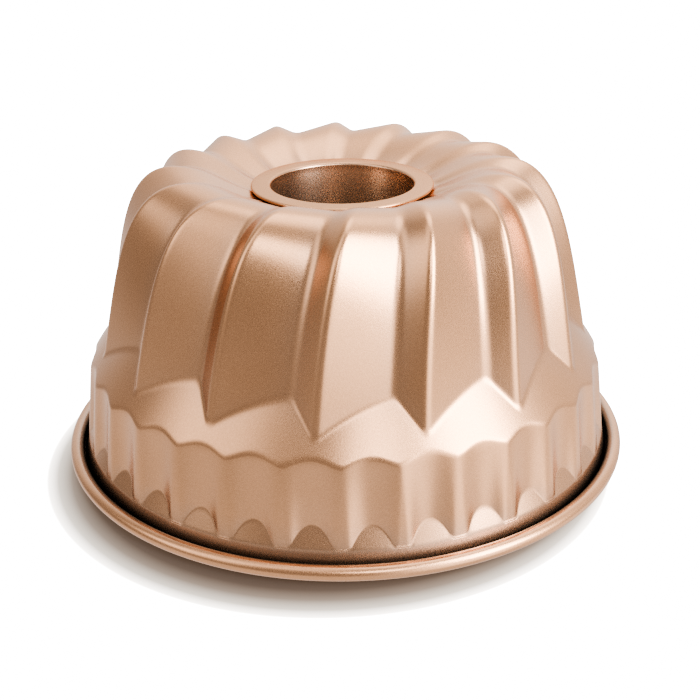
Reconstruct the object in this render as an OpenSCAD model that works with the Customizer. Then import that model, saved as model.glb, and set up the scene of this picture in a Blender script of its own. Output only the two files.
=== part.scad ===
// Fluted ring cake pan, standing on its mouth as it does when a cake is turned out.
// A pressed sheet body with a curled rim holds a tapered centre tube in its crown.
// The origin is the centre of the mouth plane and +Z points up to the crown.

/* [Sheet] */
// Thickness of the sheet of both pieces
sheet_t = 0.6; // [0.5:0.1:1]

/* [Rim] */
// Diameter over the curled rim
rim_d = 240; // [200:1:280]
// Diameter of the curl
curl_d = 5.8; // [4.6:0.1:7]
// Turn of the curl in degrees
curl_turn = 300; // [240:5:310]
// Gap between the skirt and the curl
channel_w = 2.4; // [1.5:0.1:5]
// Bend radius between the skirt and the rim
bend_r = 0.8; // [0.4:0.1:1.2]

/* [Skirt] */
// Height at which the skirt turns into the ledge
skirt_h = 40.2; // [36:0.1:46]
// Loss of radius from the plain band to the top of the skirt
skirt_draft = 3.8; // [2:0.1:4.5]
// Loss of radius of the groove floors over the same height
groove_draft = 2.3; // [1:0.1:3]
// Height of the plain band under the grooves
band_h = 8.9; // [7:0.1:12]
// Depth of a groove at the plain band
groove_depth = 3; // [2:0.1:4]
// Width of a groove at the plain band
groove_w = 18.4; // [12:0.1:19]
// Height of the half moon that closes a groove at its foot
moon_h = 10.4; // [6:0.1:14]

/* [Ledge] */
// Run of the ledge from the skirt in to the foot of a flute valley
ledge_run = 14.6; // [12:0.1:17]
// Rise of the ledge over the same run
ledge_rise = 20.5; // [17:0.1:23]
// Length of the rounding at the outer edge of the ledge
ledge_round = 1.6; // [1:0.1:3]

/* [Flutes] */
// Number of flutes, each above two grooves of the skirt
flute_count = 16; // [12:1:20]
// Height of the crown over a flute crest
crown_h = 120.4; // [112:0.1:128]
// Drop from the crown over a crest to the crown over a valley
crown_drop = 2.9; // [1:0.1:4]
// Inset of a crest from the skirt, measured at the flute root
crest_inset = 6.5; // [6:0.1:9]
// Inset of a valley from the skirt, measured at the flute root
valley_inset = 13; // [11:0.1:16]
// Height of the flute root, hidden inside the skirt
root_h = 36; // [34:0.5:38]
// Turn of the flutes about the axis up to the crown, in degrees
side_twist = 9.2; // [0:0.1:14]
// Further turn of the flutes from the crown to the tube, in degrees
crown_twist = 5.8; // [0:0.1:10]
// Length of the rounding on each side of a crest
crest_round = 2.4; // [1:0.1:4]
// Length of the rounding on each side of a valley
valley_round = 2.6; // [1:0.1:4]

/* [Tube seat] */
// Drop from the crown to the flat seat that carries the tube flange
seat_drop = 9.2; // [7.8:0.1:13]
// Clearance between the seat and the folded edge of the flange around it
seat_clear = 1.7; // [1.4:0.1:2.5]
// Clearance under the folded edge, in the hollow ring around the seat
moat_clear = 1.3; // [0.6:0.1:2]
// Length of the collar turned down around the hole
collar_h = 4; // [2:0.1:8]

/* [Tube] */
// Width of the tube flange around the mouth of the tube
flange_w = 8.1; // [7.4:0.1:11]
// Inner diameter of the tube just below its flange
tube_top_d = 58.4; // [50:0.1:61]
// Inner diameter of the tube at its small end
tube_end_d = 39; // [30:0.1:46]
// Height of the small end above the mouth plane
tube_end_h = 6; // [2:0.1:20]
// Bend radius where the flange turns into the tube
lip_r = 0.9; // [0.7:0.1:1.4]
// Width of the edge folded back under the flange
hem_w = 2.4; // [2:0.1:3]
// Gap inside the folded edge
hem_gap = 0.3; // [0.2:0.1:0.6]
// Bend radius of the inward turned small end
end_r = 1.5; // [1:0.1:3]
// Clearance between the tube and the collar
fit_gap = 0.3; // [0.2:0.05:0.5]

/* [Hidden] */

// Faces of a full turn
$fn = 192;
// Largest share of a straight stretch that one rounded corner may take
corner_max_share = 0.45;
// Overrun of a cut past the face it opens
overrun = 1;
rose = [0.80, 0.63, 0.50];
rose_dark = [0.72, 0.54, 0.42];

// Radii and heights worked out from the sizes above
skirt_r = rim_d / 2 - curl_d - channel_w;
curl_r = curl_d / 2;
curl_mid_r = rim_d / 2 - curl_r;
seat_h = crown_h - seat_drop;
curl_steps = 20;
arc_steps = 4;

// Groove cutter: a leaning cylinder whose edge bites groove_depth into the plain band
groove_count = 2 * flute_count;
groove_r = (groove_w * groove_w / 4 + groove_depth * groove_depth) / (2 * groove_depth);
groove_axis_r = skirt_r - groove_depth + groove_r;
// Wall and ledge of the skirt, leaning in above the plain band
wall_h = skirt_h - band_h;
wall_lean = atan(skirt_draft / wall_h);
groove_lean = atan(groove_draft / wall_h);
moon_lean = atan(groove_depth / moon_h + groove_draft / wall_h);
ledge_edge = [skirt_r - skirt_draft, skirt_h];
ledge_out = [ledge_rise, ledge_run] / norm([ledge_rise, ledge_run]);
wall_out = [cos(wall_lean), sin(wall_lean)];
// Share of the ledge that runs on inside the flutes
ledge_extra_share = 0.25;
ledge_end = ledge_edge + (1 + ledge_extra_share) * [-ledge_run, ledge_rise];
edge_steps = 3;

// Flutes: shares that shape the crest and valley curves between root and crown
crest_crown_share = 0.44;
crest_lean_share = 0.272;
crest_rise_share = 0.523;
crest_reach_share = 0.663;
valley_crown_share = 0.38;
valley_lean_share = 0.224;
valley_rise_share = 0.508;
valley_reach_share = 0.564;
// Share of a flute that its wide face takes
wide_share = 0.74;
// Power by which the twist grows up the side
twist_power = 1.55;
side_steps = 9;
crown_steps = 3;
crest_steps = 3;
valley_steps = 2;
// Shares that shape the crown curves between crown and moat
dip_out_share = 0.4;
dip_in_share = 0.35;
// Share of the moat depth that is left at a crest
crest_moat_share = 0.2;

tube_top_r = tube_top_d / 2;
tube_end_r = tube_end_d / 2;
flange_r = tube_top_r + flange_w;
seat_r = flange_r - hem_w - seat_clear;
moat_depth = hem_gap + sheet_t + moat_clear;
moat_r = seat_r + moat_depth;
dip_r = flange_r + moat_depth / 2;
annulus = skirt_r - dip_r;
crest_root = [skirt_r - crest_inset, root_h];
crest_crown = [dip_r + crest_crown_share * (annulus - crest_inset), crown_h];
valley_root = [skirt_r - valley_inset, root_h];
valley_crown = [dip_r + valley_crown_share * (annulus - valley_inset), crown_h - crown_drop];
crest_dip = [dip_r, seat_h - crest_moat_share * moat_depth];
valley_dip = [dip_r, seat_h - moat_depth];

// Tube: its outer wall just under the flange sets the hole in the body
flange_under = seat_h;
flange_top = flange_under + sheet_t;
hole_r = tube_top_r + sheet_t + fit_gap;

// Point on a cubic curve
function curve_point(p, t) =
    p[0] * pow(1 - t, 3) + p[1] * 3 * t * pow(1 - t, 2) + p[2] * 3 * t * t * (1 - t) + p[3] * pow(t, 3);

// Points on an arc about c from angle a to angle b
function arc(c, r, a, b, steps) =
    [for (i = [0:steps]) c + r * [cos(a + (b - a) * i / steps), sin(a + (b - a) * i / steps)]];

// Rounded corner at b between the points a and c, as a short curve
function corner(a, b, c, length, steps) =
    let (
        p = b + (a - b) * min(length / norm(a - b), corner_max_share),
        q = b + (c - b) * min(length / norm(c - b), corner_max_share)
    )
    [for (i = [0:steps]) let (t = i / steps) p * (1 - t) * (1 - t) + b * 2 * t * (1 - t) + q * t * t];

function unit(v) = v / norm(v);

// Outline of a bent strip of the sheet along a middle line
function strip_normal(path, i) =
    let (d = unit(path[min(i + 1, len(path) - 1)] - path[max(i - 1, 0)])) [-d[1], d[0]];
function strip(path, thick) = concat(
    [for (i = [0:len(path) - 1]) path[i] + strip_normal(path, i) * thick / 2],
    [for (i = [len(path) - 1:-1:0]) path[i] - strip_normal(path, i) * thick / 2]
);

// Outline of the skirt without its grooves, moved inwards by inset
function skirt_outline(inset) =
    let (
        low = inset > 0 ? -overrun : 0,
        foot = [skirt_r - inset, band_h - inset * tan(wall_lean / 2)],
        edge = ledge_edge - inset * (wall_out + ledge_out) / (1 + wall_out * ledge_out),
        end = ledge_end - inset * ledge_out
    )
    concat(
        [[0, low]],
        mouth_flare(inset, low),
        [foot],
        corner(foot, edge, end, ledge_round, edge_steps),
        [end, [0, end[1]]]
    );

// Foot of the skirt: upright outside, flared over the rim bend inside
function mouth_flare(inset, low) =
    inset > 0
    ? concat(
        [[skirt_r + bend_r, low]],
        arc([skirt_r + bend_r, sheet_t + bend_r], bend_r + sheet_t, 270, 180, arc_steps)
    )
    : [[skirt_r, low]];

// Outline of the cone that closes the grooves at their feet
function stop_outline(inset) =
    let (
        low = inset > 0 ? -overrun : 0,
        lift = inset * tan(moon_lean / 2),
        step_in = groove_depth + groove_draft + overrun
    )
    concat(
        [[0, low]],
        mouth_flare(inset, low),
        [[skirt_r - inset, band_h - lift]],
        [[skirt_r - inset - step_in, band_h - lift + step_in / tan(moon_lean)]],
        [[0, band_h - lift + step_in / tan(moon_lean)]]
    );

// Skirt with grooves that end in half moons
module skirt(inset) {
    difference() {
        rotate_extrude() polygon(skirt_outline(inset));
        for (i = [0:groove_count - 1])
            rotate(i * 360 / groove_count - 90)
                translate([groove_axis_r, 0, band_h])
                    rotate([0, -groove_lean, 0])
                        translate([0, 0, -band_h / 2])
                            cylinder(r = groove_r + inset, h = crown_h);
    }
    rotate_extrude() polygon(stop_outline(inset));
}

// Crest and valley curves: side up to the crown, then down to the moat
crest_side = [
    crest_root,
    [crest_root[0] - crest_lean_share * (crest_root[0] - crest_crown[0]),
     crest_root[1] + crest_rise_share * (crest_crown[1] - crest_root[1])],
    [crest_crown[0] + crest_reach_share * (crest_root[0] - crest_crown[0]), crest_crown[1]],
    crest_crown
];
valley_side = [
    valley_root,
    [valley_root[0] - valley_lean_share * (valley_root[0] - valley_crown[0]),
     valley_root[1] + valley_rise_share * (valley_crown[1] - valley_root[1])],
    [valley_crown[0] + valley_reach_share * (valley_root[0] - valley_crown[0]), valley_crown[1]],
    valley_crown
];
function crown_curve(crown, dip) = [
    crown,
    [crown[0] - dip_out_share * (crown[0] - dip[0]), crown[1]],
    [dip[0] + dip_in_share * (crown[0] - dip[0]), dip[1] + dip_in_share * (crown[1] - dip[1])],
    dip
];
crest_top = crown_curve(crest_crown, crest_dip);
valley_top = crown_curve(valley_crown, valley_dip);

// One row per ring: crest point, valley point and twist
rows = concat(
    [for (i = [0:side_steps]) let (t = i / side_steps)
        [curve_point(crest_side, t), curve_point(valley_side, t), side_twist * pow(t, twist_power)]],
    [for (i = [1:crown_steps]) let (t = i / crown_steps)
        [curve_point(crest_top, t), curve_point(valley_top, t), side_twist + crown_twist * t]]
);
flute_turn = 360 / flute_count;
function polar(p, a) = [p[0] * sin(a), -p[0] * cos(a), p[1]];

// Ring of a row: flat faces between crests and valleys with rounded corners
function ring(row) = [
    for (k = [0:flute_count - 1])
        let (
            a = k * flute_turn + row[2],
            before = polar(row[1], a - (1 - wide_share) * flute_turn),
            crest = polar(row[0], a),
            valley = polar(row[1], a + wide_share * flute_turn),
            after = polar(row[0], a + flute_turn)
        )
        each concat(
            corner(before, crest, valley, crest_round, crest_steps),
            corner(crest, valley, after, valley_round, valley_steps)
        )
];
function on_circle(points, r, z) =
    [for (p = points) let (d = norm([p[0], p[1]])) [p[0] * r / d, p[1] * r / d, z]];
flute_rings = [for (row = rows) ring(row)];
last_ring = flute_rings[len(flute_rings) - 1];
rings = concat(
    flute_rings,
    [on_circle(last_ring, moat_r, seat_h - moat_depth), on_circle(last_ring, seat_r, seat_h)]
);
ring_count = len(rings);
station_count = len(rings[0]);

// Outward normal of the fluted skin at a station
function skin_normal(i, j) =
    let (
        along = rings[i][(j + 1) % station_count] - rings[i][(j + station_count - 1) % station_count],
        up = rings[min(i + 1, ring_count - 1)][j] - rings[max(i - 1, 0)][j]
    )
    unit(cross(along, up));

// Fluted dome as a solid form, moved inwards by inset
module dome(inset) {
    points = [
        for (i = [0:ring_count - 1]) for (j = [0:station_count - 1])
            let (p = rings[i][j], q = p - inset * skin_normal(i, j))
            i == 0 ? [q[0], q[1], p[2]]
            : i == ring_count - 1 ? [p[0], p[1], p[2] - inset]
            : q
    ];
    faces = [
        for (i = [0:ring_count - 2]) for (j = [0:station_count - 1])
            let (a = i * station_count + j, b = i * station_count + (j + 1) % station_count)
            each [[a, a + station_count, b + station_count], [a, b + station_count, b]]
    ];
    polyhedron(points, concat(
        faces,
        [[for (j = [0:station_count - 1]) j]],
        [[for (j = [station_count - 1:-1:0]) (ring_count - 1) * station_count + j]]
    ));
}

// Whole outer form of the body, moved inwards by inset
module form(inset) {
    skirt(inset);
    dome(inset);
}

// Rim: the sheet bends out, lies flat on the table and curls up
module rim() {
    rotate_extrude() polygon(concat(
        [[skirt_r - sheet_t / 2, 0], [curl_mid_r - bend_r, 0]],
        [[curl_mid_r - bend_r, sheet_t]],
        arc([skirt_r + bend_r, sheet_t + bend_r], bend_r, 270, 180, arc_steps),
        [[skirt_r - sheet_t / 2, sheet_t + bend_r]]
    ));
    rotate_extrude() polygon(strip(concat(
        [[curl_mid_r - bend_r - overrun, sheet_t / 2]],
        arc([curl_mid_r, curl_r], curl_r - sheet_t / 2, -90, curl_turn - 90, curl_steps)
    ), sheet_t));
}

// Pressed body with its hole and the collar that holds the tube
module pan_body() {
    color(rose) difference() {
        union() {
            form(0);
            rim();
        }
        difference() {
            form(sheet_t);
            translate([0, 0, seat_h - collar_h])
                cylinder(r = hole_r + sheet_t, h = collar_h);
        }
        cylinder(r = hole_r, h = crown_h);
        // Rounded mouth of the hole, clear of the bend under the tube flange
        rotate_extrude() polygon(concat(
            [[0, seat_h + overrun], [0, seat_h - lip_r], [hole_r, seat_h - lip_r]],
            arc([hole_r + lip_r, seat_h - lip_r], lip_r, 180, 90, arc_steps),
            [[hole_r + lip_r, seat_h + overrun]]
        ));
    }
}

// Middle line of the tube wall at height z
function wall_r(z) =
    let (t = (seat_h - z) / (seat_h - tube_end_h))
    tube_top_r + (tube_end_r - tube_top_r) * t + sheet_t / 2;

// Tapered tube with a folded flange and a turned in end
module center_tube() {
    hem_r = (sheet_t + hem_gap) / 2;
    mid_z = flange_top - sheet_t / 2;
    edge_r = flange_r - sheet_t / 2 - hem_r;
    lean = atan((tube_top_r - tube_end_r) / (seat_h - tube_end_h));
    path = concat(
        [[flange_r - hem_w, mid_z - 2 * hem_r]],
        arc([edge_r, mid_z - hem_r], hem_r, -90, 90, arc_steps),
        arc([wall_r(seat_h) + lip_r, mid_z - lip_r], lip_r, 90, 180 + lean, arc_steps),
        arc([wall_r(tube_end_h + end_r) - end_r, tube_end_h + end_r], end_r, 0, -90, arc_steps)
    );
    color(rose_dark) rotate_extrude() polygon(strip(path, sheet_t));
}

pan_body();
center_tube();
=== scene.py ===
import math

import bpy
import numpy as np
from mathutils import Matrix


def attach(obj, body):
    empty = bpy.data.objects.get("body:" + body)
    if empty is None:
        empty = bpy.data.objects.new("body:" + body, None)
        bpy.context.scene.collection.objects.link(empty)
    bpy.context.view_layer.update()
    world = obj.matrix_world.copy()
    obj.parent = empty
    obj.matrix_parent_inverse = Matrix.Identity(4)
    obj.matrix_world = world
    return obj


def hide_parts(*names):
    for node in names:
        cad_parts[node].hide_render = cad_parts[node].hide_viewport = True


# Fluted ring cake pan: fine meshes of its two sheet pieces, their coating, and the studio
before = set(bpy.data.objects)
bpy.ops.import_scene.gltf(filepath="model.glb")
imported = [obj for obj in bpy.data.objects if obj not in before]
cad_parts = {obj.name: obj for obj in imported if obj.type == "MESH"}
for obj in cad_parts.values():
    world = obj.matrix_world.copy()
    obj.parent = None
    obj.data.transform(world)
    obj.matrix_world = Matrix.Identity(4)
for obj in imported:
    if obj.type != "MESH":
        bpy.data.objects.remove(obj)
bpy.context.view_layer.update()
MM = 0.001

# Sheet and rim, in millimetres
SHEET = 0.6
RIM_R = 120.0
CURL_R = 2.9
CURL_TURN = 300.0
CHANNEL = 2.4
BEND_R = 0.8
SKIRT_R = RIM_R - 2 * CURL_R - CHANNEL
CURL_MID_R = RIM_R - CURL_R

# Skirt with its grooves and half moons
SKIRT_H = 40.2
SKIRT_DRAFT = 3.8
BAND_H = 8.9
FLARE = 1.6
FLARE_POWER = 1.3
GROOVE_DEPTH = 3.0
GROOVE_DRAFT = 2.3
GROOVE_W = 15.6
GROOVE_TOP_W = 18.0
MOON_H = 8.8
WALL_H = SKIRT_H - BAND_H
BAND_FOOT_H = SHEET + BEND_R

# Ledge, a cone from the top of the skirt in to the flutes
LEDGE_RUN = 14.6
LEDGE_RISE = 20.5

# Tube, with its folded flange
FLANGE_R = 37.3
TUBE_TOP_R = 29.2
TUBE_END_R = 19.5
TUBE_END_H = 6.0
END_R = 1.5
HEM_W = 2.4
HEM_GAP = 0.3
LIP_R = 0.9
# Straight stretch of the tube under its lip, which is one step of its grid
TUBE_TOP_RUN = 3.0

# Seat for the tube in the crown, the hollow ring around it, and the collar of the hole
CROWN_H = 120.4
SEAT_DROP = 9.2
SEAT_H = CROWN_H - SEAT_DROP
SEAT_R = 33.2
MOAT_DEPTH = 2.2
MOAT_R = SEAT_R + MOAT_DEPTH
DIP_R = FLANGE_R + MOAT_DEPTH / 2
FIT_GAP = 0.3
HOLE_R = TUBE_TOP_R + SHEET + FIT_GAP
COLLAR_H = 4.0

# Flutes
FLUTES = 16
CROWN_DROP = 2.9
CREST_INSET = 6.5
VALLEY_INSET = 13.0
ROOT_H = 36.0
SIDE_TWIST = 9.2
CROWN_TWIST = 5.8
TWIST_POWER = 1.55
CREST_ROUND = 2.4
VALLEY_ROUND = 2.6
WIDE_SHARE = 0.74
CORNER_MAX_SHARE = 0.45
# Where the crest and valley lines turn over, as shares of the way from the hollow ring to the root
CREST_CROWN_SHARE = 0.44
VALLEY_CROWN_SHARE = 0.38
# Bend of these lines up the side: lean and rise at the root, reach at the crown
CREST_SIDE = (0.272, 0.523, 0.663)
VALLEY_SIDE = (0.224, 0.508, 0.564)
# Bend of these lines over the crown: reach at the crown and at the hollow ring
CROWN_REACH = 0.4
DIP_REACH = 0.35
# Depth of a crest line in the hollow ring, as a share of the ring's depth
CREST_DIP_SHARE = 0.2

# Widths over which two surfaces of the body blend where they meet
EDGE_BLEND = 0.8
GROOVE_BLEND = 1.1
MOON_BLEND = 0.25
BAND_BLEND = 0.25
FOOT_BLEND = 1.0

# Steps of the body's grid: around one flute, and up its rows
CREST_STEPS = 8
WIDE_STEPS = 22
VALLEY_STEPS = 8
NARROW_STEPS = 8
SIDE_SAMPLES = 601
SIDE_ROWS = 44
SIDE_ROW_POWER = 1.2
CROWN_ROWS = 18
HOLLOW_ROWS = 8
LEDGE_ROWS = 12
WALL_ROWS = 16
MOON_ROWS = 8
BAND_ROWS = 5

# Steps of the round stretches of the rim, the collar and the tube
BEND_STEPS = 6
CURL_STEPS = 30
CURL_INNER_STEPS = 24
CURL_EDGE_STEPS = 4
COLLAR_LIP_STEPS = 8
COLLAR_INNER_STEPS = 6
COLLAR_EDGE_STEPS = 6
HEM_STEPS = 12
LIP_STEPS = 12
TUBE_WALL_ROWS = 17
TUBE_END_STEPS = 8
TUBE_AROUND = 256


def both_ways(offsets):
    """Offsets above, at and below a line."""
    return np.array([*offsets, 0, *(-offset for offset in reversed(offsets))])


# Heights of the rows beside the flute's foot, the ledge's edge, the half moons and the band
FOOT_OFFSETS = both_ways([2.0, 1.5, 1.1, 0.7, 0.35])
EDGE_OFFSETS = both_ways([1.4, 1.0, 0.7, 0.45, 0.2])
MOON_OFFSETS = both_ways([1.1, 0.75, 0.5, 0.25])
BAND_OFFSETS = both_ways([0.9, 0.6, 0.4, 0.2])

# Coating: faint clouds of tone, a fine sparkle, and its sheen
CLOUD_SCALE = 22
CLOUD_DETAIL = 3
CLOUD_TONES = [
    (0.35, (0.655, 0.36, 0.205)),
    (0.5, (0.68, 0.376, 0.217)),
    (0.65, (0.705, 0.393, 0.23)),
]
SPARKLE_SCALE = 1500
SPARKLE_DETAIL = 1
SPARKLE_TONES = [(0.3, (0.95, 0.95, 0.95)), (0.5, (0.99, 0.99, 0.99)), (0.7, (1.05, 1.05, 1.05))]
METALLIC = 0.96
ROUGHNESS = (0.23, 0.33)
ROUGHNESS_SCALE = 1800
GRAIN_SCALE = 1500
GRAIN_HEIGHT = 0.00012
FINE_DETAIL = 2
NOOK_SAMPLES = 6

# Coating of each piece. Nooks, such as the channel behind the curl and the inside of the tube, get
# painted shade,
# darker and less orange than open faces: the nook tones multiply the coating's colour, from a closed
# nook to an open face.
BODY_COAT = {
    "nook_shade_reach": 0.014,
    "nook_shade_tones": [
        (0.0, (0.2, 0.29, 0.39)),
        (0.4, (0.47, 0.67, 0.93)),
        (0.7, (0.74, 0.93, 1.2)),
        (0.94, (1, 1, 1)),
    ],
    "edge_tone": (1, 1, 1),
    "grain": 0.15,
}
# The tube's coat paints its shade over a wider reach, which darkens the whole inside of the tube, and
# its edge tone dims and warms its grazing reflections.
TUBE_COAT = {
    "nook_shade_reach": 0.05,
    "nook_shade_tones": [
        (0.0, (0.46, 0.8, 1.2)),
        (0.4, (0.63, 1.0, 1.48)),
        (0.8, (0.8, 1.06, 1.4)),
        (1, (1, 1, 1)),
    ],
    "edge_tone": (0.93, 0.82, 0.72),
    "grain": 0.07,
}

# Light of the room: an even level, and soft lights on top of it. Each has an azimuth and an elevation
# in degrees, the cosines of its half width and of its core, and a level.
ROOM_LEVEL = 0.35
ROOM_LIGHTS = {
    "below": (0, -90, 0.12, 0.38, 0.5),
    "below_right": (105, -30, 0.87, 1, 0.35),
    "right_low": (56, 5, 0.76, 1, 1.85),
    "right_middle": (72, 22, 0.9, 1, 1.1),
    "front": (21, 39, 0.968, 1, 4.8),
    "left_low": (-52, 18, 0.88, 1, 0.17),
    "left_high": (-43, 63, 0.88, 1, 1.0),
    "left_middle": (-57, 33, 0.9, 1, 1.15),
    "left_side": (-74, 26, 0.955, 1, 0.6),
    "back_right": (135, 35, 0.3, 1, 0.65),
    "back_left": (-165, 24, 0.45, 1, 0.57),
    "back_high": (150, 70, 0.87, 1, 1.6),
}

# Key light, in metres, degrees and watts; it faces a point in the middle of the pan
KEY_AZIMUTH = 62
KEY_ELEVATION = 29
KEY_DISTANCE = 1.0
KEY_SIZE = (0.5, 0.72)
KEY_WATTS = 9.5
PAN_MIDDLE = (0, 0, 0.06)

# Floor and the pan's soft shadow painted on it round a fixed centre, in metres; the tones run from the
# pan out to the bare floor
FLOOR_HALF = 30.0
FLOOR_ROUGHNESS = 0.6
FLOOR_GLOW = 7
SHADOW_CENTRE = (-0.005, -0.021, 0)
SHADOW_START = 0.097
SHADOW_END = 0.1195
SHADOW_TONES = [
    (0.0, (0.0125, 0.0088, 0.0066)),
    (0.25, (0.018, 0.0135, 0.0105)),
    (0.5, (0.042, 0.034, 0.028)),
    (0.75, (0.11, 0.1, 0.088)),
    (0.93, (0.32, 0.3, 0.28)),
    (1.0, (0.9, 0.9, 0.9)),
]

# Camera fitted to the photo: lens and sensor in millimetres, place in metres, turns in degrees
CAMERA_LENS = 58.63
CAMERA_SENSOR = 36
CAMERA_PLACE = (0.05192, -0.44873, 0.24143)
CAMERA_HEADING = 6.303
CAMERA_DOWN = 24.414
CAMERA_ROLL = -0.684


def smooth_min(a, b, width):
    """The lesser of two values, rounded where they cross."""
    h = np.clip(width - np.abs(a - b), 0, None)
    return np.minimum(a, b) - h * h / (4 * width)


def smooth_max(a, b, width):
    """The greater of two values, rounded where they cross."""
    return -smooth_min(-a, -b, width)


def curve(points, t):
    """Points on a cubic curve."""
    p = np.array(points)
    t = np.asarray(t)[:, None]
    return (p[0] * (1 - t) ** 3 + p[1] * 3 * t * (1 - t) ** 2
            + p[2] * 3 * t * t * (1 - t) + p[3] * t ** 3)


def rounded(a, b, c, steps):
    """Points from a to c on a round stretch that bends at b."""
    return [a * (1 - t) ** 2 + b * 2 * t * (1 - t) + c * t * t for t in np.linspace(0, 1, steps + 1)]


def between(a, b, steps):
    """Inner points of a straight stretch."""
    return [a + (b - a) * t for t in np.linspace(0, 1, steps + 1)[1:-1]]


def arc(centre, radius, start, end, steps):
    """Points on an arc, from start to end in degrees."""
    a = np.radians(np.linspace(start, end, steps + 1))
    return np.stack([centre[0] + radius * np.cos(a), centre[1] + radius * np.sin(a)], axis=1)


def polar(rows, angle):
    """Points at the radii and heights of rows, turned by an angle from the front."""
    return np.stack([rows[:, 0] * np.sin(angle), -rows[:, 0] * np.cos(angle), rows[:, 1]], axis=1)


def polar_of(points):
    """Radius and angle from the front of points."""
    return np.hypot(points[..., 0], points[..., 1]), np.arctan2(points[..., 0], -points[..., 1])


def ledge_radius(z):
    """Radius of the ledge at height z."""
    return SKIRT_R - SKIRT_DRAFT - (z - SKIRT_H) * LEDGE_RUN / LEDGE_RISE


def groove_depth(angle, up):
    """Depth of the grooves, up from 0 at the plain band to 1 at the ledge; below zero between them."""
    pitch = math.pi / FLUTES
    off = SKIRT_R * np.sin((angle + pitch / 2) % pitch - pitch / 2)
    half = (GROOVE_W + (GROOVE_TOP_W - GROOVE_W) * up) / 2
    return (GROOVE_DEPTH - (SKIRT_DRAFT - GROOVE_DRAFT) * up) * (1 - (off / half) ** 2)


def wall_radius(angle, z):
    """Radius of the grooved wall at an angle from the front and a height."""
    up = np.clip((z - BAND_H) / WALL_H, 0, None)
    flare = FLARE * np.clip((BAND_H - z) / (BAND_H - BAND_FOOT_H), 0, 1) ** FLARE_POWER
    stop = (z - BAND_H) * GROOVE_DEPTH / MOON_H
    groove = groove_depth(angle, np.clip(up, 0, 1))
    depth = smooth_min(groove, stop, MOON_BLEND)
    # Half moons meet the wall sharply and the grooves above them softly, with 1 mm to change over
    share = np.clip(stop - groove + 0.5, 0, 1)
    width = BAND_BLEND + (GROOVE_BLEND - BAND_BLEND) * share
    return SKIRT_R + flare - SKIRT_DRAFT * up - smooth_max(depth, 0, width)


def skirt_radius(angle, z):
    """Radius of the wall and the ledge above it."""
    return smooth_min(wall_radius(angle, z), ledge_radius(z), EDGE_BLEND)


def corner(a, b, c, length, steps):
    """Rounded corner at b, as points in the order a to c."""
    share_a = np.minimum(length / np.linalg.norm(a - b, axis=1), CORNER_MAX_SHARE)[:, None]
    share_c = np.minimum(length / np.linalg.norm(c - b, axis=1), CORNER_MAX_SHARE)[:, None]
    return rounded(b + (a - b) * share_a, b, b + (c - b) * share_c, steps)


def flute_rows(crest, valley, twist):
    """Rows of one flute: flat faces between crest and valley, with rounded corners."""
    turn = 2 * math.pi / FLUTES
    before = polar(valley, twist - (1 - WIDE_SHARE) * turn)
    top = polar(crest, twist)
    low = polar(valley, twist + WIDE_SHARE * turn)
    after = polar(crest, twist + turn)
    beyond = polar(valley, twist + (1 + WIDE_SHARE) * turn)
    crest_corner = corner(before, top, low, CREST_ROUND, CREST_STEPS)
    valley_corner = corner(top, low, after, VALLEY_ROUND, VALLEY_STEPS)
    next_corner = corner(low, after, beyond, CREST_ROUND, CREST_STEPS)
    return np.stack(
        crest_corner + between(crest_corner[-1], valley_corner[0], WIDE_STEPS)
        + valley_corner + between(valley_corner[-1], next_corner[0], NARROW_STEPS), axis=1)


def all_round(flute):
    """Full rings from the rows of one flute."""
    rings = []
    for k in range(FLUTES):
        c, s = math.cos(k * 2 * math.pi / FLUTES), math.sin(k * 2 * math.pi / FLUTES)
        rings.append(flute @ np.array([[c, s, 0], [-s, c, 0], [0, 0, 1]]))
    return np.concatenate(rings, axis=1)


def flute_line(inset, crown_share, crown_h):
    """Ends of a crest or valley line: its hidden root, and its crown, where it turns over."""
    root = [SKIRT_R - inset, ROOT_H]
    crown = [DIP_R + crown_share * (SKIRT_R - DIP_R - inset), crown_h]
    return root, crown


CREST_ROOT, CREST_CROWN = flute_line(CREST_INSET, CREST_CROWN_SHARE, CROWN_H)
VALLEY_ROOT, VALLEY_CROWN = flute_line(VALLEY_INSET, VALLEY_CROWN_SHARE, CROWN_H - CROWN_DROP)


def side_curve(root, crown, lean, rise, reach, t):
    """Flute line from its hidden root up to the crown."""
    return curve([root,
                  [root[0] - lean * (root[0] - crown[0]), root[1] + rise * (crown[1] - root[1])],
                  [crown[0] + reach * (root[0] - crown[0]), crown[1]],
                  crown], t)


def crown_curve(crown, dip, t):
    """Flute line from the crown in to the hollow ring around the seat."""
    return curve([crown,
                  [crown[0] - CROWN_REACH * (crown[0] - dip[0]), crown[1]],
                  [dip[0] + DIP_REACH * (crown[0] - dip[0]), dip[1] + DIP_REACH * (crown[1] - dip[1])],
                  dip], t)


def side_rows(t):
    """Rows of one flute up its side, t from 0 at the root to 1 at the crown."""
    return flute_rows(side_curve(CREST_ROOT, CREST_CROWN, *CREST_SIDE, t),
                      side_curve(VALLEY_ROOT, VALLEY_CROWN, *VALLEY_SIDE, t),
                      np.radians(SIDE_TWIST * t ** TWIST_POWER))


def crown_rows():
    """Rows of one flute from the crown in to the hollow ring."""
    t = np.linspace(0, 1, CROWN_ROWS + 1)[1:]
    return flute_rows(crown_curve(CREST_CROWN, [DIP_R, SEAT_H - CREST_DIP_SHARE * MOAT_DEPTH], t),
                      crown_curve(VALLEY_CROWN, [DIP_R, SEAT_H - MOAT_DEPTH], t),
                      np.radians(SIDE_TWIST + CROWN_TWIST * t))


def crossing(heights, gap):
    """Height at which the gap of each column passes through zero."""
    last = np.argmax(gap > 0, axis=0)
    j = np.arange(gap.shape[1])
    low, high = gap[last - 1, j], gap[last, j]
    share = low / (low - high)
    return heights[last - 1, j] * (1 - share) + heights[last, j] * share


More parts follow.
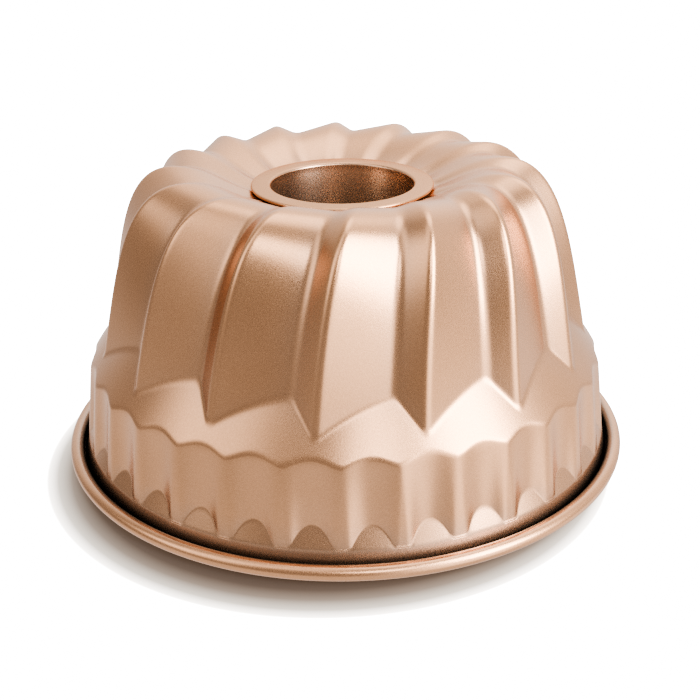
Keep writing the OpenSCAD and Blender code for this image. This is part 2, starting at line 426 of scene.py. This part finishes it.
def rows_above(low, dense, t):
    """Rows of the side from a height of each column, low, up to the crown."""
    columns = dense.shape[1]
    share = np.linspace(0, 1, SIDE_ROWS + 1)[1:] ** SIDE_ROW_POWER
    side = np.empty((SIDE_ROWS, columns, 3))
    for j in range(columns):
        start = np.interp(low[j], dense[:, j, 2], t)
        own = start + (1 - start) * share
        for k in range(3):
            side[:, j, k] = np.interp(own, t, dense[:, j, k])
    return side


def low_heights(foot, edge, moon):
    """Heights of the rows of each column from above the flute's foot down to the rim's bend."""
    def run(high, low, steps):
        return np.array(between(high, low, steps))

    band = np.full(foot.shape, BAND_H)
    bend = np.full(foot.shape, BAND_FOOT_H)
    heights = np.concatenate([
        foot + FOOT_OFFSETS[:, None],
        run(foot + FOOT_OFFSETS[-1], edge + EDGE_OFFSETS[0], LEDGE_ROWS),
        edge + EDGE_OFFSETS[:, None],
        run(edge + EDGE_OFFSETS[-1], moon + MOON_OFFSETS[0], WALL_ROWS),
        moon + MOON_OFFSETS[:, None],
        run(moon + MOON_OFFSETS[-1], band + BAND_OFFSETS[0], MOON_ROWS),
        band + BAND_OFFSETS[:, None],
        run(band + BAND_OFFSETS[-1], bend, BAND_ROWS),
        [bend],
    ])
    return np.sort(heights, axis=0)[::-1]


def rows_below(heights, dense):
    """Rows at the given heights, where the flute runs into the ledge and the grooved wall."""
    radius, angle = polar_of(dense)
    own_r, own_a = np.empty(heights.shape), np.empty(heights.shape)
    for j in range(heights.shape[1]):
        own_r[:, j] = np.interp(heights[:, j], dense[:, j, 2], radius[:, j])
        own_a[:, j] = np.interp(heights[:, j], dense[:, j, 2], angle[:, j])
    own_r = np.where(heights < ROOT_H, 0, own_r)
    low_r = smooth_max(own_r, skirt_radius(own_a, heights), FOOT_BLEND)
    return np.stack([low_r * np.sin(own_a), -low_r * np.cos(own_a), heights], axis=2)


def outer_rows():
    """Outer skin of one flute, from the hollow ring over the crown down to the rim's bend."""
    t = np.linspace(0, 1, SIDE_SAMPLES)
    dense = side_rows(t)
    radius, angle = polar_of(dense)
    height = dense[..., 2]
    # Where each column of the flute leaves the ledge, and where the ledge meets the wall
    wall, ledge = wall_radius(angle, height), ledge_radius(height)
    foot = crossing(height, radius - np.minimum(ledge, wall))
    edge = crossing(height, wall - ledge)
    moon = BAND_H + MOON_H * np.clip(groove_depth(angle[0], 0), 0, None) / GROOVE_DEPTH
    side = rows_above(foot + FOOT_OFFSETS[0], dense, t)
    low = rows_below(low_heights(foot, edge, moon), dense)
    return np.concatenate([crown_rows()[::-1], side[::-1], low])


def ring_at(directions, profile):
    """Round rings through a profile of radii and heights, one per point."""
    out = np.empty((len(profile), len(directions), 3))
    out[..., :2] = np.asarray(profile)[:, 0, None, None] * directions[None, :, :]
    out[..., 2] = np.asarray(profile)[:, 1, None]
    return out


def directions_of(ring):
    """Level directions from the axis to the points of a ring."""
    flat = ring[:, :2]
    return flat / np.linalg.norm(flat, axis=1)[:, None]


def skin_normals(rings):
    """Outward normals at the points of the outer skin."""
    along = np.roll(rings, -1, axis=1) - np.roll(rings, 1, axis=1)
    down = np.gradient(rings, axis=0)
    normal = np.cross(down, along)
    return normal / np.linalg.norm(normal, axis=2)[..., None]


def seat_rings(directions, dip):
    """Flat seat of the tube, and the hollow ring around it as far as the first ring of the flutes."""
    moat = ring_at(directions, [[MOAT_R, SEAT_H - MOAT_DEPTH]])[0]
    seat = ring_at(directions, [[SEAT_R, SEAT_H]])[0]
    flat = ring_at(directions, [[HOLE_R + LIP_R, SEAT_H], [(HOLE_R + LIP_R + SEAT_R) / 2, SEAT_H]])
    return np.concatenate([flat, rounded(seat, moat, dip, HOLLOW_ROWS)[:-1]])


def rim_profile():
    """Bend out of the skirt, curled rim and its edge, once round the sheet."""
    bend = [SKIRT_R + FLARE + BEND_R, BAND_FOOT_H]
    curl = [CURL_MID_R, CURL_R]
    turn_end = CURL_TURN - 90
    middle_r = CURL_R - SHEET / 2
    edge = [curl[0] + middle_r * math.cos(math.radians(turn_end)),
            curl[1] + middle_r * math.sin(math.radians(turn_end))]
    return np.concatenate([
        arc(bend, BEND_R, 180, 270, BEND_STEPS)[1:],
        arc(curl, CURL_R - SHEET, -90, turn_end, CURL_INNER_STEPS),
        arc(edge, SHEET / 2, turn_end + 180, turn_end, CURL_EDGE_STEPS)[1:-1],
        arc(curl, CURL_R, turn_end, -90, CURL_STEPS),
        arc(bend, BEND_R + SHEET, 270, 180, BEND_STEPS)[:-1],
    ])


def collar_profile():
    """Collar turned down around the hole, from the seat's inner side back to its outer side."""
    lip = [HOLE_R + LIP_R, SEAT_H - LIP_R]
    edge_z = SEAT_H - COLLAR_H + SHEET / 2
    return np.concatenate([
        [[SEAT_R - SHEET, SEAT_H - SHEET]],
        arc(lip, LIP_R - SHEET, 90, 180, COLLAR_INNER_STEPS),
        [[HOLE_R + SHEET, edge_z]],
        arc([HOLE_R + SHEET / 2, edge_z], SHEET / 2, 0, -180, COLLAR_EDGE_STEPS)[1:],
        arc(lip, LIP_R, 180, 90, COLLAR_LIP_STEPS)[:-1],
    ])


def body_rings():
    """Every ring of the pressed body, once round its section."""
    skin = all_round(outer_rows())
    inner_turn = directions_of(skin[0])
    outer_turn = directions_of(skin[-1])
    outer = np.concatenate([seat_rings(inner_turn, skin[0]), skin])
    # The inner skin follows every second ring of the outer one, from the rim up to the seat
    inner = (outer - SHEET * skin_normals(outer))[:2:-2]
    return np.concatenate([outer, ring_at(outer_turn, rim_profile()),
                           inner, ring_at(inner_turn, collar_profile())])


def grid_mesh(name, rings):
    """A closed tube of quads from rings, in millimetres, joined end to end."""
    rows, around = rings.shape[:2]
    i, j = np.meshgrid(np.arange(rows), np.arange(around), indexing="ij")
    down, on = (i + 1) % rows, (j + 1) % around
    faces = np.stack([i * around + j, down * around + j, down * around + on, i * around + on], axis=2)
    mesh = bpy.data.meshes.new(name)
    mesh.from_pydata((rings.reshape(-1, 3) * MM).tolist(), [], faces.reshape(-1, 4).tolist())
    mesh.shade_smooth()
    mesh.update()
    piece = bpy.data.objects.new(name, mesh)
    bpy.context.scene.collection.objects.link(piece)
    return piece


def strip(path, thick):
    """Closed outline of a bent strip of sheet along its middle line."""
    ahead = np.vstack([path[1:], path[-1:]])
    behind = np.vstack([path[:1], path[:-1]])
    along = (ahead - behind) / np.linalg.norm(ahead - behind, axis=1)[:, None]
    side = np.stack([-along[:, 1], along[:, 0]], axis=1) * thick / 2
    return np.vstack([path + side, (path - side)[::-1]])


def tube_rings():
    """Rings of the centre tube: folded flange, tapered wall, turned in end."""
    hem_r = (SHEET + HEM_GAP) / 2
    mid_z = SEAT_H + SHEET / 2
    edge_r = FLANGE_R - SHEET / 2 - hem_r
    taper = (TUBE_TOP_R - TUBE_END_R) / (SEAT_H - TUBE_END_H)
    lean = math.degrees(math.atan(taper))

    def wall(z):
        return TUBE_TOP_R + SHEET / 2 - (SEAT_H - z) * taper

    heights = np.linspace(SEAT_H - TUBE_TOP_RUN, TUBE_END_H + END_R, TUBE_WALL_ROWS + 1)[:-1]
    end = [wall(TUBE_END_H + END_R) - END_R, TUBE_END_H + END_R]
    path = np.concatenate([
        [[FLANGE_R - HEM_W, mid_z - 2 * hem_r]],
        arc([edge_r, mid_z - hem_r], hem_r, -90, 90, HEM_STEPS),
        [[(edge_r + wall(SEAT_H) + LIP_R) / 2, mid_z]],
        arc([wall(SEAT_H) + LIP_R, mid_z - LIP_R], LIP_R, 90, 180 + lean, LIP_STEPS),
        np.stack([wall(heights), heights], axis=1),
        arc(end, END_R, 0, -90, TUBE_END_STEPS),
    ])
    a = np.linspace(0, 2 * math.pi, TUBE_AROUND + 1)[:-1]
    return ring_at(np.stack([np.sin(a), -np.cos(a)], axis=1), strip(path, SHEET)[::-1])


def color_ramp(tree, source, stops):
    """Colours of the stops, laid out along a value."""
    node = tree.nodes.new("ShaderNodeValToRGB")
    while len(node.color_ramp.elements) < len(stops):
        node.color_ramp.elements.new(1)
    for stop, (at, rgb) in zip(node.color_ramp.elements, stops):
        stop.position = at
        stop.color = (*rgb, 1)
    tree.links.new(source, node.inputs["Fac"])
    return node.outputs["Color"]


def map_range(tree, source, start, end, low, high):
    """Node that carries a value from start to end over to low to high."""
    node = tree.nodes.new("ShaderNodeMapRange")
    node.inputs["From Min"].default_value = start
    node.inputs["From Max"].default_value = end
    node.inputs["To Min"].default_value = low
    node.inputs["To Max"].default_value = high
    tree.links.new(source, node.inputs["Value"])
    return node


def vector_value(tree, operation, source, fixed):
    """Value of a vector operation with a fixed second vector."""
    node = tree.nodes.new("ShaderNodeVectorMath")
    node.operation = operation
    tree.links.new(source, node.inputs[0])
    node.inputs[1].default_value = fixed
    return node.outputs["Value"]


def coated_steel(name, nook_shade_reach, nook_shade_tones, edge_tone, grain):
    """Satin metallic coating with a fine sparkle, faint clouds of tone, and painted shade in its
    nooks.
    """
    mat = bpy.data.materials.new(name)
    mat.use_nodes = True
    tree = mat.node_tree
    nodes, links = tree.nodes, tree.links
    shader = nodes["Principled BSDF"]
    place = nodes.new("ShaderNodeTexCoord").outputs["Object"]

    def noise(scale, detail):
        node = nodes.new("ShaderNodeTexNoise")
        node.inputs["Scale"].default_value = scale
        node.inputs["Detail"].default_value = detail
        links.new(place, node.inputs["Vector"])
        return node.outputs["Fac"]

    def product(a, b):
        node = nodes.new("ShaderNodeMix")
        node.data_type = "RGBA"
        node.blend_type = "MULTIPLY"
        node.inputs["Factor"].default_value = 1
        links.new(a, node.inputs["A"])
        links.new(b, node.inputs["B"])
        return node.outputs["Result"]

    # Painted shade: occlusion within the nook reach darkens the coating's colour in its nooks.
    occlusion_shade = nodes.new("ShaderNodeAmbientOcclusion")
    occlusion_shade.samples = NOOK_SAMPLES
    occlusion_shade.only_local = True
    occlusion_shade.inputs["Distance"].default_value = nook_shade_reach
    clouds = color_ramp(tree, noise(CLOUD_SCALE, CLOUD_DETAIL), CLOUD_TONES)
    sparkle = color_ramp(tree, noise(SPARKLE_SCALE, SPARKLE_DETAIL), SPARKLE_TONES)
    # The coating's colour is its tone times its sparkle and the painted nook shade.
    tint = product(product(clouds, sparkle), color_ramp(tree, occlusion_shade.outputs["AO"], nook_shade_tones))
    links.new(tint, shader.inputs["Base Color"])
    shader.inputs["Metallic"].default_value = METALLIC
    shader.inputs["Specular Tint"].default_value = (*edge_tone, 1)
    rough = map_range(tree, noise(ROUGHNESS_SCALE, FINE_DETAIL), 0, 1, *ROUGHNESS)
    links.new(rough.outputs["Result"], shader.inputs["Roughness"])
    bump = nodes.new("ShaderNodeBump")
    bump.inputs["Strength"].default_value = grain
    bump.inputs["Distance"].default_value = GRAIN_HEIGHT
    links.new(noise(GRAIN_SCALE, FINE_DETAIL), bump.inputs["Height"])
    links.new(bump.outputs["Normal"], shader.inputs["Normal"])
    return mat


def pale_floor():
    """Glowing white, with a soft shadow painted where the pan stands on it."""
    mat = bpy.data.materials.new("pale_floor")
    mat.use_nodes = True
    tree = mat.node_tree
    shader = tree.nodes["Principled BSDF"]
    place = tree.nodes.new("ShaderNodeTexCoord").outputs["Object"]
    # Painted shadow: the floor's colour and glow darken towards a fixed centre under the pan, whatever
    # the light.
    off = vector_value(tree, "DISTANCE", place, SHADOW_CENTRE)
    across = map_range(tree, off, SHADOW_START, SHADOW_END, 0, 1)
    tone = color_ramp(tree, across.outputs["Result"], SHADOW_TONES)
    tree.links.new(tone, shader.inputs["Base Color"])
    tree.links.new(tone, shader.inputs["Emission Color"])
    shader.inputs["Emission Strength"].default_value = FLOOR_GLOW
    shader.inputs["Roughness"].default_value = FLOOR_ROUGHNESS
    return mat


def add_floor():
    """Wide floor that the pan's coating neither mirrors nor takes light from."""
    half = FLOOR_HALF
    mesh = bpy.data.meshes.new("floor")
    mesh.from_pydata([(-half, -half, 0), (half, -half, 0), (half, half, 0), (-half, half, 0)], [],
                     [(0, 1, 2, 3)])
    floor = bpy.data.objects.new("floor", mesh)
    bpy.context.scene.collection.objects.link(floor)
    floor.data.materials.append(pale_floor())
    floor.visible_glossy = False
    floor.visible_diffuse = False


def aim(azimuth, elevation):
    """Direction from the pan; azimuth 0 is the front, plus is to the right."""
    a, e = math.radians(azimuth), math.radians(elevation)
    return np.array([math.sin(a) * math.cos(e), -math.cos(a) * math.cos(e), math.sin(e)])


def add_key():
    """Tall soft light at the right of the camera."""
    data = bpy.data.lights.new("key", "AREA")
    data.shape = "RECTANGLE"
    data.size, data.size_y = KEY_SIZE
    data.energy = KEY_WATTS
    lamp = bpy.data.objects.new("key", data)
    turn = (Matrix.Rotation(math.radians(KEY_AZIMUTH), 4, "Z")
            @ Matrix.Rotation(math.radians(90 - KEY_ELEVATION), 4, "X"))
    place = aim(KEY_AZIMUTH, KEY_ELEVATION) * KEY_DISTANCE + np.array(PAN_MIDDLE)
    lamp.matrix_world = Matrix.Translation(place) @ turn
    lamp.visible_camera = False
    bpy.context.scene.collection.objects.link(lamp)


def add_room():
    """Soft light from all round, the sum of the room's level and its lights."""
    world = bpy.data.worlds.new("studio")
    world.use_nodes = True
    tree = world.node_tree
    sky = tree.nodes["Background"]
    sky.inputs["Color"].default_value = (1, 1, 1, 1)
    ray = tree.nodes.new("ShaderNodeTexCoord").outputs["Generated"]
    total = None
    for name, (azimuth, elevation, start, end, level) in ROOM_LIGHTS.items():
        along = vector_value(tree, "DOT_PRODUCT", ray, aim(azimuth, elevation))
        light = map_range(tree, along, start, end, 0, level)
        light.interpolation_type = "SMOOTHSTEP"
        light.label = name
        more = tree.nodes.new("ShaderNodeMath")
        tree.links.new(light.outputs["Result"], more.inputs[0])
        # The first light is added to the room's own level, and each other one to the sum so far
        if total is None:
            more.inputs[1].default_value = ROOM_LEVEL
        else:
            tree.links.new(total, more.inputs[1])
        total = more.outputs["Value"]
    tree.links.new(total, sky.inputs["Strength"])
    bpy.context.scene.world = world


def add_studio():
    """Light of the room, key light, and the look of the picture."""
    add_room()
    add_key()
    view = bpy.context.scene.view_settings
    view.view_transform = "AgX"
    view.look = "AgX - High Contrast"


def add_camera():
    """The photo's view: place, heading, pitch and roll."""
    data = bpy.data.cameras.new("camera")
    data.lens = CAMERA_LENS
    data.sensor_width = CAMERA_SENSOR
    camera = bpy.data.objects.new("camera", data)
    place = Matrix.Translation(CAMERA_PLACE)
    heading = Matrix.Rotation(math.radians(CAMERA_HEADING), 4, "Z")
    pitch = Matrix.Rotation(math.radians(90 - CAMERA_DOWN), 4, "X")
    roll = Matrix.Rotation(math.radians(CAMERA_ROLL), 4, "Z")
    camera.matrix_world = place @ heading @ pitch @ roll
    bpy.context.scene.collection.objects.link(camera)
    bpy.context.scene.camera = camera


add_camera()
add_studio()
add_floor()

body = grid_mesh("pressed_body", body_rings())
tube = grid_mesh("tapered_tube", tube_rings())
for piece, node, coat in [(body, "pan_body", BODY_COAT), (tube, "center_tube", TUBE_COAT)]:
    piece.data.materials.append(coated_steel(node + "_coating", **coat))
    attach(piece, "root")
    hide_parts(node)
